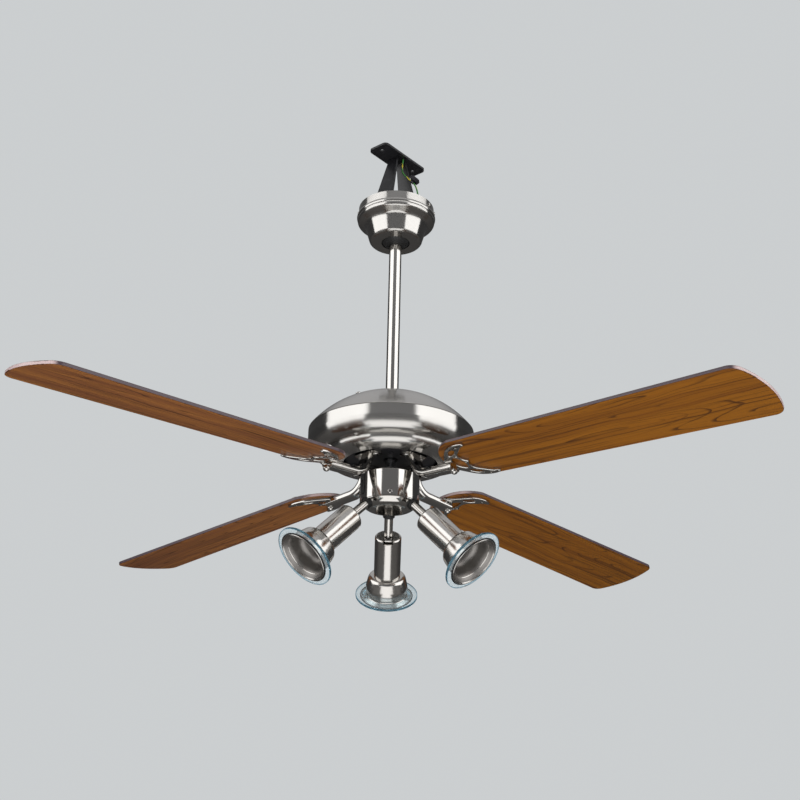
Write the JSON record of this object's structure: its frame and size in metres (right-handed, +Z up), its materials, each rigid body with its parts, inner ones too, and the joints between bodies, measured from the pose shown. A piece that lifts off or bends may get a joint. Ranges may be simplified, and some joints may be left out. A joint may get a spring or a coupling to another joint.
{
  "type": "ceiling fan with light",
  "caption": "Ceiling fan on a downrod with a domed motor housing, pitched wooden blades on scroll irons, and swivelling spotlights with glass rings under a switch housing.",
  "frame": {"origin": "centre of the ceiling plate's upper face", "axes": "+Z up along the downrod, -Y towards the camera of the picture"},
  "size_m": [0.996, 0.996, 0.7851],
  "materials": {
    "black_steel": "satin black enamel",
    "black_nylon": "moulded black nylon",
    "satin_nickel": "satin nickel plate over spun steel, brushed round",
    "polished_nickel": "bright nickel plate",
    "cast_nickel": "bright nickel plate over casting",
    "screw_steel": "nickel plated steel",
    "earth_sleeve": "green and yellow insulation",
    "shaft_steel": "ground steel",
    "core_steel": "stacked electrical steel",
    "copper": "enamelled copper wire",
    "rotor_black": "black enamel on die casting",
    "walnut": "walnut laminate, satin lacquer",
    "black_plastic": "moulded black plastic",
    "black_rubber": "moulded rubber",
    "satin_reflector": "satin spun aluminium",
    "ring_glass": "clear float glass with a blue edge",
    "ceramic": "glazed ceramic"
  },
  "bodies": {
    "hanger": {"hanger_bracket": "black_steel", "canopy": "satin_nickel", "canopy_screws": "screw_steel", "earth_wire": "earth_sleeve"},
    "drop": {"hanger_ball": "black_nylon", "rod_pins": "screw_steel", "downrod": "polished_nickel", "motor_yoke": "black_steel", "housing_spider": "black_steel", "motor_shaft": "shaft_steel", "stator_core": "core_steel", "stator_windings": "copper", "upper_housing": "satin_nickel", "lower_housing": "satin_nickel", "housing_dish": "satin_nickel", "housing_screws": "screw_steel", "switch_plate": "black_steel", "switch_housing": "polished_nickel", "pan_screws": "screw_steel", "light_pan": "polished_nickel", "capacitor": "black_plastic", "reverse_switch_body": "black_plastic", "stem_gaskets": "black_rubber"},
    "rotor": {"rotor_upper_cover": "rotor_black", "rotor_lower_cover": "rotor_black", "rotor_core": "core_steel", "motor_bearings": "shaft_steel", "blade_iron_1": "cast_nickel", "blade_iron_2": "cast_nickel", "blade_iron_3": "cast_nickel", "blade_iron_4": "cast_nickel", "blade_1": "walnut", "blade_2": "walnut", "blade_3": "walnut", "blade_4": "walnut", "iron_screws": "screw_steel", "blade_screws": "screw_steel"},
    "direction_slider": {"reverse_switch_slider": "black_plastic"},
    "stem_1_arm": {"stem_1": "polished_nickel"},
    "head_1": {"can_1": "polished_nickel", "cup_1": "polished_nickel", "reflector_1": "satin_reflector", "glass_ring_1": "ring_glass", "lamp_holder_1": "ceramic", "pivot_pin_1": "screw_steel"},
    "stem_2_arm": {"stem_2": "polished_nickel"},
    "head_2": {"can_2": "polished_nickel", "cup_2": "polished_nickel", "reflector_2": "satin_reflector", "glass_ring_2": "ring_glass", "lamp_holder_2": "ceramic", "pivot_pin_2": "screw_steel"},
    "stem_3_arm": {"stem_3": "polished_nickel"},
    "head_3": {"can_3": "polished_nickel", "cup_3": "polished_nickel", "reflector_3": "satin_reflector", "glass_ring_3": "ring_glass", "lamp_holder_3": "ceramic", "pivot_pin_3": "screw_steel"}
  },
  "joints": [
    {"name": "hanger_rock", "type": "hinge", "parent": "hanger", "child": "drop", "pos_m": [0, 0, -0.1499], "axis": [1, 0, 0], "range_deg": [-8, 8]},
    {"name": "rotor_spin", "type": "hinge", "parent": "drop", "child": "rotor", "pos_m": [0, 0, -0.5659], "axis": [0, 0, 1], "continuous": true},
    {"name": "reverse_slide", "type": "slide", "parent": "drop", "child": "direction_slider", "axis": [0, 0, 1], "range_m": [0, 0.004]},
    {"name": "stem_swivel_1", "type": "hinge", "parent": "drop", "child": "stem_1_arm", "pos_m": [0, 0.0405, -0.64441], "axis": [0, 0.7071, -0.7071], "range_deg": [-150, 150]},
    {"name": "head_tilt_1", "type": "hinge", "parent": "stem_1_arm", "child": "head_1", "pos_m": [0, 0.07373, -0.67764], "axis": [-1, 0, 0], "range_deg": [0, 45]},
    {"name": "stem_swivel_2", "type": "hinge", "parent": "drop", "child": "stem_2_arm", "pos_m": [-0.03507, -0.02025, -0.64441], "axis": [-0.6124, -0.3536, -0.7071], "range_deg": [-150, 150]},
    {"name": "head_tilt_2", "type": "hinge", "parent": "stem_2_arm", "child": "head_2", "pos_m": [-0.06386, -0.03687, -0.67764], "axis": [0.5, -0.866, 0], "range_deg": [0, 45]},
    {"name": "stem_swivel_3", "type": "hinge", "parent": "drop", "child": "stem_3_arm", "pos_m": [0.03507, -0.02025, -0.64441], "axis": [0.6124, -0.3536, -0.7071], "range_deg": [-150, 150]},
    {"name": "head_tilt_3", "type": "hinge", "parent": "stem_3_arm", "child": "head_3", "pos_m": [0.06386, -0.03687, -0.67764], "axis": [0.5, 0.866, 0], "range_deg": [0, 45]}
  ]
}
